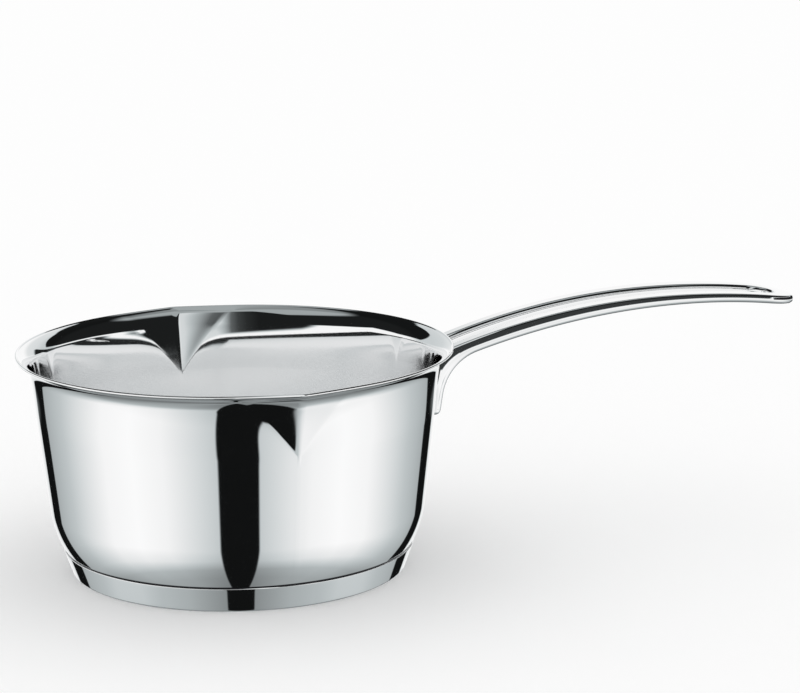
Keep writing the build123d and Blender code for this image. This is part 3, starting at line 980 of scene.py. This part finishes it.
class Shader:
    """The nodes of a new material or world."""

    def __init__(self, owner):
        self.owner = owner
        owner.use_nodes = True
        self.tree = owner.node_tree
        self.tree.nodes.clear()

    def node(self, kind, settings=None, inputs=None):
        """Adds a node, with its settings first and then its sockets' values or links."""
        node = self.tree.nodes.new(kind)
        for name, value in (settings or {}).items():
            if name == "stops":
                set_stops(node.color_ramp, value)
            else:
                setattr(node, name, value)
        for name, value in (inputs or {}).items():
            socket = value.socket if isinstance(value, Value) else value
            if isinstance(socket, bpy.types.NodeSocket):
                self.tree.links.new(socket, node.inputs[name])
            else:
                node.inputs[name].default_value = socket
        return node

    def value(self, node, output=0):
        return Value(self, node.outputs[output])

    def math(self, operation, first, second):
        """Two numbers through a Math node."""
        node = self.node("ShaderNodeMath", {"operation": operation}, {0: first, 1: second})
        return self.value(node)

    def split(self, vector):
        """The x, y and z of a vector."""
        node = self.node("ShaderNodeSeparateXYZ", None, {0: vector})
        return [self.value(node, axis) for axis in range(3)]

    def light_path(self, name):
        """A fact about the ray that sees the world."""
        return self.value(self.node("ShaderNodeLightPath"), name)

    def place(self, scale=(1, 1, 1)):
        """Object coordinates, stretched."""
        source = self.node("ShaderNodeTexCoord").outputs["Object"]
        mapped = self.node("ShaderNodeMapping", None, {"Vector": source, "Scale": scale})
        return mapped.outputs[0]

    def noise(self, scale, detail, stretch=(1, 1, 1)):
        """Noise through the metal, with a scale in features to the metre."""
        inputs = {"Vector": self.place(stretch), "Scale": scale, "Detail": detail}
        return self.value(self.node("ShaderNodeTexNoise", None, inputs), "Fac")

    def rings(self, radius, scale, detail, roughness=0.5):
        """Uneven rings round the axis: noise along the radius."""
        inputs = {"W": radius * scale, "Scale": 1.0, "Detail": detail, "Roughness": roughness}
        node = self.node("ShaderNodeTexNoise", {"noise_dimensions": "1D"}, inputs)
        return self.value(node, "Fac")

    def smooth_step(self, value, low, high):
        """0 below low, 1 above high, and a smooth rise between them."""
        node = self.node(
            "ShaderNodeMapRange",
            {"interpolation_type": "SMOOTHSTEP"},
            {"Value": value, "From Min": low, "From Max": high},
        )
        return self.value(node)

    def between(self, value, low, high, soft):
        """1 between two places and 0 beyond them, with a soft edge inside each."""
        start = self.smooth_step(value, low, low + soft)
        return start * (1 - self.smooth_step(value, high - soft, high))

    def lines(self, value, pairs, top=1.0):
        """Straight lines through (place, level) pairs; levels lie between 0 and a top."""
        low, high = pairs[0][0], pairs[-1][0]
        spread = self.node(
            "ShaderNodeMapRange", None, {"Value": value, "From Min": low, "From Max": high}
        )
        stops = [((place - low) / (high - low), level / top) for place, level in pairs]
        ramp = self.node("ShaderNodeValToRGB", {"stops": stops}, {0: spread.outputs[0]})
        return self.value(ramp) * top

    def mix(self, part, first, second):
        """A colour between two colours."""
        node = self.node("ShaderNodeMix", {"data_type": "RGBA"}, {0: part, 6: first, 7: second})
        return node.outputs[2]

    def metal(self, base_colour, roughness, bump_height, bump_distance, metallic=1.0):
        """Ends the material in a metallic surface with a fine relief."""
        relief = {"Height": bump_height, "Distance": bump_distance, "Strength": 1.0}
        inputs = {
            "Base Color": base_colour,
            "Roughness": roughness,
            "Metallic": metallic,
            "Normal": self.node("ShaderNodeBump", None, relief).outputs[0],
        }
        surface = self.node("ShaderNodeBsdfPrincipled", None, inputs)
        self.node("ShaderNodeOutputMaterial", None, {"Surface": surface.outputs[0]})
        return self.owner


def set_stops(ramp, stops):
    """Sets a colour ramp from (place, grey) pairs."""
    while len(ramp.elements) < len(stops):
        ramp.elements.new(1.0)
    for element, (place, grey) in zip(ramp.elements, stops):
        element.position = place
        element.color = (grey, grey, grey, 1)


def opaque(rgb, level=1.0):
    """A colour with alpha, darkened to a level."""
    return (*(level * part for part in rgb), 1.0)


def blend(first, second, part):
    """A number on the way from one number to another."""
    return first + part * (second - first)


# Finishes

# Their patterns: features to the metre, detail, and for one the roughness of the pattern
CLOUD = (38.0, 3.0)
CAST_CLOUD = (60.0, 3.0)
CAST_GRAIN = (900.0, 2.0)
CAST_GRAIN_STRETCH = (0.08, 1, 1)
BOTTOM_RINGS = (2600.0, 2.0)
UNDERSIDE_RINGS = (1900.0, 3.0, 0.65)
CORE_GRAIN = (500.0, 4.0)
WELD_GRAIN = (1200.0, 4.0)

# The least and most that a pattern makes of a roughness
UNEVEN = (0.8, 1.2)
CAST_LEAST = 0.9
CAST_CLOUD_SWING = 0.5
CAST_GRAIN_SWING = 0.25
TURNED_SWING = 0.14

# The darkest that a pattern makes of a colour
CLOUD_TONE = 0.985
CAST_TONE = 0.975
TURNED_TONE = 0.8
GRAIN_TONE = 0.8

# Depths of relief
BOTTOM_RELIEF = 0.004 * mm
TURNED_RELIEF = 0.02 * mm
GRAIN_RELIEF = 0.01 * mm

# Heights above a flat side over which its own finish ends
BOTTOM_END = (0.05 * mm, 0.4 * mm)
UNDERSIDE_END = (0.02 * mm, 0.25 * mm)


def radius_and_height(shader):
    """Distance from the pan's axis and height, of each point of a surface."""
    x, y, height = shader.split(shader.place())
    return (x * x + y * y).math("SQRT"), height


def mirror_polish(shader, finish):
    """Cloudy unevenness of the polish, and its roughness."""
    cloud = shader.noise(*CLOUD)
    return cloud, finish.polish * blend(*UNEVEN, cloud)


def polished_bowl_steel(finish, bowl, seam_height):
    """Mirror polish that turns satin down the inside, with fine rings on the bottom.

    A thin dark line of painted shade, in the braze colour, runs round the outside where the
    capsule's edge meets the bowl.
    """
    shader = Shader(bpy.data.materials.new("polished steel"))
    radius, height = radius_and_height(shader)
    satin = shader.value(shader.node("ShaderNodeAttribute", {"attribute_name": "satin"}), "Fac")
    low_down = 1 - shader.smooth_step(height - bowl.bottom - bowl.sheet, *BOTTOM_END)
    well_in = 1 - shader.smooth_step(radius, finish.brushed_radius, finish.brushed_end)
    brushed = satin * low_down * well_in
    cloud, roughness = mirror_polish(shader, finish)
    roughness = roughness + satin * (finish.satin - finish.polish)
    roughness = roughness + brushed * (finish.bottom - finish.satin)
    tone = shader.mix(cloud, opaque(finish.steel), opaque(finish.steel, CLOUD_TONE))
    # Painted shade: a thin dark band in the braze colour along the seam over the capsule's edge.
    low, high = seam_height - finish.seam_shade_half, seam_height + finish.seam_shade_half
    seam = shader.between(height, low, high, finish.seam_shade_edge) * (1 - satin)
    tone = shader.mix(seam, tone, opaque(finish.braze))
    rings = shader.rings(radius, *BOTTOM_RINGS) * brushed
    return shader.metal(tone, roughness, rings, BOTTOM_RELIEF, 1 - brushed * finish.scatter)


def base_steel(finish):
    """Polished side, and a finely turned underside with rings round the axis."""
    shader = Shader(bpy.data.materials.new("base steel"))
    radius, height = radius_and_height(shader)
    under = 1 - shader.smooth_step(height, *UNDERSIDE_END)
    turned = shader.rings(radius, *UNDERSIDE_RINGS)
    roughness = mirror_polish(shader, finish)[1]
    roughness = roughness + under * (finish.turned - finish.polish + TURNED_SWING * turned)
    tone = shader.mix(under * turned, opaque(finish.steel), opaque(finish.steel, TURNED_TONE))
    return shader.metal(tone, roughness, turned * under, TURNED_RELIEF)


def cast_steel(finish):
    """Polished casting: the mirror is a little softer, with a faint long-wave unevenness."""
    shader = Shader(bpy.data.materials.new("cast steel"))
    cloud = shader.noise(*CAST_CLOUD)
    grain = shader.noise(*CAST_GRAIN, CAST_GRAIN_STRETCH)
    uneven = CAST_LEAST + CAST_CLOUD_SWING * cloud + CAST_GRAIN_SWING * grain
    steel = finish.handle_steel
    tone = shader.mix(cloud, opaque(steel), opaque(steel, CAST_TONE))
    return shader.metal(tone, finish.polish * uneven, cloud, GRAIN_RELIEF)


def hidden_metal(name, base_colour, roughness, pattern):
    """Plain mill finish of a piece that is sealed in or out of sight."""
    shader = Shader(bpy.data.materials.new(name))
    grain = shader.noise(*pattern)
    tone = shader.mix(grain, opaque(base_colour), opaque(base_colour, GRAIN_TONE))
    return shader.metal(tone, roughness * blend(*UNEVEN, grain), grain, GRAIN_RELIEF)


# Operators


def settings():
    """The pan's own settings in the scene."""
    return bpy.context.scene.milk_pan


def dress(piece, material, node):
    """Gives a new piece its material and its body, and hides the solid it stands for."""
    piece.data.materials.append(material)
    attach(piece, "root")
    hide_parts(node)


class PanBodyOperator(bpy.types.Operator):
    """Adds the drawn bowl with its flare and both pouring lips"""

    bl_idname = "milk_pan.add_body"
    bl_label = "Add pan body"

    def execute(self, context):
        pan = settings()
        grid = bowl_grid(pan.bowl)
        poles = ((0, 0, pan.bowl.bottom), (0, 0, pan.bowl.bottom + pan.bowl.sheet))
        piece = add_vessel("polished_bowl", grid, *poles, VESSEL_SHARP)
        satin = piece.data.attributes.new("satin", "FLOAT", "POINT")
        satin.data.foreach_set("value", np.append(satin_share(pan.bowl, grid), (0, 1)))
        steel = polished_bowl_steel(pan.finish, pan.bowl, pan.base.height)
        dress(piece, steel, "pan_body")
        return {"FINISHED"}


class BaseCapOperator(bpy.types.Operator):
    """Adds the steel capsule under the bowl"""

    bl_idname = "milk_pan.add_base"
    bl_label = "Add base capsule"

    def execute(self, context):
        pan = settings()
        grid = turned_grid(base_outline(pan.bowl, pan.base), CAP_COLUMNS)
        poles = ((0, 0, 0), (0, 0, pan.base.sheet))
        piece = add_vessel("base_capsule", grid, *poles, VESSEL_SHARP)
        dress(piece, base_steel(pan.finish), "base_cap")
        return {"FINISHED"}


class HandleOperator(bpy.types.Operator):
    """Adds the cast loop handle"""

    bl_idname = "milk_pan.add_handle"
    bl_label = "Add handle"

    def execute(self, context):
        pan = settings()
        grid = handle_grid(HandleForm(pan))
        rows, columns = grid.shape[:2]
        faces = ring_faces(rows, columns, closed_rows=True)
        piece = add_piece("loop_handle", grid.reshape(-1, 3), faces, HANDLE_SHARP)
        dress(piece, cast_steel(pan.finish), "handle")
        return {"FINISHED"}


class HiddenMetalOperator(bpy.types.Operator):
    """Gives the heat core and the spot welds their own metal"""

    bl_idname = "milk_pan.finish_hidden"
    bl_label = "Finish hidden metal"

    def execute(self, context):
        finish = settings().finish
        metals = {
            "core_disc": ("rolled aluminium", finish.core, finish.core_roughness, CORE_GRAIN),
            "spot_welds": ("weld steel", finish.weld, finish.weld_roughness, WELD_GRAIN),
        }
        for node, metal in metals.items():
            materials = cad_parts[node].data.materials
            materials.clear()
            materials.append(hidden_metal(*metal))
        return {"FINISHED"}


class StudioOperator(bpy.types.Operator):
    """Sets the floor, the soft light round the pan and the camera"""

    bl_idname = "milk_pan.set_studio"
    bl_label = "Set studio"

    def execute(self, context):
        studio = settings().studio
        add_floor(studio)
        set_world(studio)
        add_camera(studio)
        context.scene.view_settings.view_transform = "Standard"
        return {"FINISHED"}


# Half the floor's side, and how far it lies under the pan
FLOOR_HALF = 20.0
FLOOR_GAP = 0.02 * mm


def add_floor(studio):
    """A plain pale floor under the base, clear from below so that the underside can be seen."""
    corners = [(-1, -1), (1, -1), (1, 1), (-1, 1)]
    mesh = bpy.data.meshes.new("floor")
    mesh.from_pydata([(FLOOR_HALF * x, FLOOR_HALF * y, 0) for x, y in corners], [], [(0, 1, 2, 3)])
    floor = bpy.data.objects.new("floor", mesh)
    bpy.context.scene.collection.objects.link(floor)
    floor.location.z = -FLOOR_GAP
    floor.visible_glossy = False
    shader = Shader(bpy.data.materials.new("pale floor"))
    tone = opaque([studio.floor_tone] * 3)
    matt = shader.node("ShaderNodeBsdfDiffuse", None, {"Color": tone}).outputs[0]
    clear = shader.node("ShaderNodeBsdfTransparent").outputs[0]
    below = shader.node("ShaderNodeNewGeometry").outputs["Backfacing"]
    shown = shader.node("ShaderNodeMixShader", None, {0: below, 1: matt, 2: clear})
    shader.node("ShaderNodeOutputMaterial", None, {"Surface": shown.outputs[0]})
    mesh.materials.append(shader.owner)


# The studio that polished steel sees, by direction.  Round is the angle in degrees from the
# viewer's back towards the viewer's right, and rise the height in degrees above the horizon.
# Levels are brightnesses.  Straight lines join the pairs, and a pair of rises is a soft edge.

# Side panels: level by angle off the viewer's back, and what rise leaves of it
PANEL_LEVELS = (
    (0, 0.55), (14, 0.61), (30, 0.76), (45, 0.90), (65, 0.97), (85, 0.92),
    (105, 0.72), (120, 0.56), (140, 0.42), (158, 0.75), (170, 0.90), (180, 0.95),
)
PANEL_SHARES = ((-90, 0.30), (-75, 0.33), (-60, 0.40), (-50, 0.50), (-40, 0.84), (-28, 1.0))

# Black cards between the panels: start and end round, soft edge, and rises of the top edge
CARDS = (
    (-12.5, 13.5, 1.5, (-20, -17)),
    (-158, -140.5, 1.5, (-12, -9)),
    (140.5, 159, 2, (-12, -9)),
)
CARD_LEVEL = 0.006

# White band at the horizon
BAND_EDGE = (-16, -12.5)
BAND_LEVEL = 0.93

# Dark card on the band to the viewer's right, whose lower edge climbs from a foot
SLOPED_CARD = (24, 56, 2)
SLOPED_CARD_FOOT = (33, -12)
SLOPED_CARD_CLIMB = 1.4
SLOPED_CARD_EDGE = (-2, 2)
SLOPED_CARD_LEVEL = 0.04

# Dark strip on the band, with its top edge by round
STRIP = (48, 154, 4)
STRIP_FOOT = (-9, -7)
STRIP_TOPS = ((40, 5.76), (126, 5.76), (134, 7.2), (149, 13.05), (160, 13.05))
STRIP_EDGE = (-0.7, 0.7)
STRIP_LEVEL = 0.02

# Dark ceiling: its lower edge by round, and what is left of the light behind the pan
CEILING_TOPS = (
    (-180, 37), (-172, 32), (-166, 32), (-157, 33), (-152, 22), (-133, 9), (-110, 12), (-90, 20),
    (-75, 14), (-60, 9), (-40, 6.5), (0, 6.5), (30, 7), (60, 8), (90, 10), (120, 9), (136, 12),
    (146, 34), (154, 37), (165, 41), (173, 39), (180, 37),
)
CEILING_EDGE = (-1, 1)
CEILING_LEVEL = 0.012
BEHIND_SHARES = (
    (-180, 1), (-174, 0.80), (-165, 0.70), (-150, 0.66), (-130, 0.66), (-120, 1), (120, 1),
    (128, 0.62), (142, 0.66), (150, 0.76), (162, 0.80), (168, 1), (180, 1),
)
BEHIND_EDGE = (2, 6)

# Opening in the ceiling towards the viewer's right: level by slant, and its end round
OPENING_LEVELS = (
    (-15, 0.01), (-7, 0.025), (-2, 0.05), (2, 0.12), (5, 0.40), (8.2, 0.68), (14, 0.72),
)
OPENING_END = (23, 26)

# Soft light overhead, which comes down lower away from the viewer's back
OVERHEAD_FOOT = 76
OVERHEAD_DROP = 22
OVERHEAD_DROP_ROUND = (30, 45)
OVERHEAD_EDGE = (0, 6)
OVERHEAD_LEVEL = 0.38

# The soft room that steel shows in other steel: light, dimmer higher up, with a dark top that
# only the second sight of it has, and a dark line at its horizon
ROOM_LEVEL = 0.86
ROOM_DIM_LEVEL = 0.70
ROOM_DIM_EDGE = (8, 26)
ROOM_TOP_LEVEL = 0.02
ROOM_TOP_EDGE = (24, 30)
ROOM_LINE = (-11, 4, 3)
ROOM_LINE_LEVEL = 0.03
ROOM_FOOT = (-12, -9)

# Ray depths past which a ray has met steel twice, or three times
SECOND_SIGHT = 2.5
THIRD_SIGHT = 3.5

# Levels over which the cast of the darker panels gives way to white
TINT_END = (0.45, 0.95)


def low_studio(shader, around, rise):
    """Level below the ceiling: panels, black cards, the white band and the dark on it."""
    level = shader.lines(abs(around), PANEL_LEVELS) * shader.lines(rise, PANEL_SHARES)
    for start, end, soft, top in CARDS:
        card = shader.between(around, start, end, soft) * (1 - shader.smooth_step(rise, *top))
        level = blend(level, CARD_LEVEL, card)
    level = blend(level, BAND_LEVEL, shader.smooth_step(rise, *BAND_EDGE))
    foot_round, foot_rise = SLOPED_CARD_FOOT
    slope = (around - foot_round) * SLOPED_CARD_CLIMB + foot_rise
    over_slope = rise - slope.math("MAXIMUM", foot_rise)
    card = shader.between(around, *SLOPED_CARD) * shader.smooth_step(over_slope, *SLOPED_CARD_EDGE)
    level = blend(level, SLOPED_CARD_LEVEL, card)
    strip = shader.between(around, *STRIP) * shader.smooth_step(rise, *STRIP_FOOT)
    over_strip = rise - shader.lines(around, STRIP_TOPS, top=90)
    strip = strip * (1 - shader.smooth_step(over_strip, *STRIP_EDGE))
    return blend(level, STRIP_LEVEL, strip)


def dark_ceiling(shader, around, rise, slant):
    """Level of the ceiling, with its opening and the soft light overhead."""
    opening = shader.lines(slant, OPENING_LEVELS) * (1 - shader.smooth_step(around, *OPENING_END))
    level = opening.math("MAXIMUM", CEILING_LEVEL)
    drop = OVERHEAD_DROP * shader.smooth_step(abs(around), *OVERHEAD_DROP_ROUND)
    overhead = shader.smooth_step(rise - OVERHEAD_FOOT + drop, *OVERHEAD_EDGE)
    return blend(level, OVERHEAD_LEVEL, overhead)


def soft_room(shader, rise, low, third):
    """Level of the room that steel shows in other steel."""
    level = blend(ROOM_LEVEL, ROOM_DIM_LEVEL, shader.smooth_step(rise, *ROOM_DIM_EDGE))
    level = blend(level, ROOM_TOP_LEVEL, shader.smooth_step(rise, *ROOM_TOP_EDGE) * (1 - third))
    level = blend(level, ROOM_LINE_LEVEL, shader.between(rise, *ROOM_LINE))
    return blend(low, level, shader.smooth_step(rise, *ROOM_FOOT))


def polished_view(shader, studio):
    """Level of the studio in polished steel, by direction.

    Slant is the direction's part across, over the fourth root of 1 - height^2.
    """
    source = shader.node("ShaderNodeTexCoord").outputs["Generated"]
    turn = {"Vector": source, "Angle": -studio.azimuth}
    turned = shader.node("ShaderNodeVectorRotate", {"rotation_type": "Z_AXIS"}, turn)
    across, away, height = shader.split(turned.outputs[0])
    around = across.math("ARCTAN2", 0 - away).degrees()
    rise = height.math("ARCSINE").degrees()
    slant = (across / (1 - height * height) ** 0.25).degrees()

    low = low_studio(shader, around, rise)
    ceiling = dark_ceiling(shader, around, rise, slant)
    over_edge = rise - shader.lines(around, CEILING_TOPS, top=90)
    first = blend(low, ceiling, shader.smooth_step(over_edge, *CEILING_EDGE))
    behind = shader.lines(around, BEHIND_SHARES)
    first = first * blend(1, behind, shader.smooth_step(rise, *BEHIND_EDGE))
    depth = shader.light_path("Ray Depth")
    room = soft_room(shader, rise, low, depth.math("GREATER_THAN", THIRD_SIGHT))
    return blend(first, room, depth.math("GREATER_THAN", SECOND_SIGHT))


def set_world(studio):
    """Even white light; only what polished steel sees of it has panels and dark places."""
    shader = Shader(bpy.data.worlds.new("studio"))
    bpy.context.scene.world = shader.owner
    shader.owner.cycles.sampling_method = "NONE"
    white = opaque((1, 1, 1))
    level = polished_view(shader, studio)
    cast = shader.mix(shader.smooth_step(level, *TINT_END), opaque(studio.grey_tint), white)
    seen = shader.light_path("Is Glossy Ray")
    light = {
        "Color": shader.mix(seen, white, cast),
        "Strength": blend(studio.room_light, level * studio.panel_light, seen),
    }
    background = shader.node("ShaderNodeBackground", None, light)
    shader.node("ShaderNodeOutputWorld", None, {"Surface": background.outputs[0]})


# Width of the sensor in millimetres, and the nearest and farthest that the camera sees
SENSOR_WIDTH = 36.0
CAMERA_CLIP = (0.01, 50.0)


def add_camera(studio):
    """The photograph's viewpoint, worked out from its angles."""
    turn = Matrix.Rotation(studio.azimuth, 3, "Z")
    run, rise = studio.distance * cos(studio.elevation), studio.distance * sin(studio.elevation)
    place = Vector((0, -run, studio.aim_height + rise))
    flat = cos(studio.pitch)
    forward = Vector((sin(studio.yaw) * flat, cos(studio.yaw) * flat, sin(studio.pitch)))
    right = Vector((cos(studio.yaw), -sin(studio.yaw), 0))
    up = right.cross(forward)
    rolled_right = right * cos(studio.roll) + up * sin(studio.roll)
    rolled_up = up * cos(studio.roll) - right * sin(studio.roll)
    axes = Matrix((rolled_right, rolled_up, -forward)).transposed()
    data = bpy.data.cameras.new("camera")
    data.lens = studio.lens
    data.sensor_width = SENSOR_WIDTH
    data.clip_start, data.clip_end = CAMERA_CLIP
    camera = bpy.data.objects.new("camera", data)
    bpy.context.scene.collection.objects.link(camera)
    camera.matrix_world = Matrix.Translation(turn @ place) @ (turn @ axes).to_4x4()
    bpy.context.scene.camera = camera


OPERATORS = (
    PanBodyOperator,
    BaseCapOperator,
    HandleOperator,
    HiddenMetalOperator,
    StudioOperator,
)


class MilkPanPanel(bpy.types.Panel):
    """Lists the pan's steps in the sidebar"""

    bl_idname = "VIEW3D_PT_milk_pan"
    bl_label = "Milk pan"
    bl_space_type = "VIEW_3D"
    bl_region_type = "UI"
    bl_category = "Milk pan"

    def draw(self, context):
        for operator in OPERATORS:
            self.layout.operator(operator.bl_idname)


CLASSES = (
    BowlShape,
    BaseShape,
    HandleShape,
    SteelFinish,
    StudioSettings,
    MilkPan,
    *OPERATORS,
    MilkPanPanel,
)


def register():
    for one in CLASSES:
        bpy.utils.register_class(one)
    bpy.types.Scene.milk_pan = PointerProperty(type=MilkPan)


def unregister():
    del bpy.types.Scene.milk_pan
    for one in reversed(CLASSES):
        bpy.utils.unregister_class(one)


def main():
    """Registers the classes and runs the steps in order."""
    register()
    bpy.ops.milk_pan.add_body()
    bpy.ops.milk_pan.add_base()
    bpy.ops.milk_pan.add_handle()
    bpy.ops.milk_pan.finish_hidden()
    bpy.ops.milk_pan.set_studio()


if __name__ == "__main__":
    main()
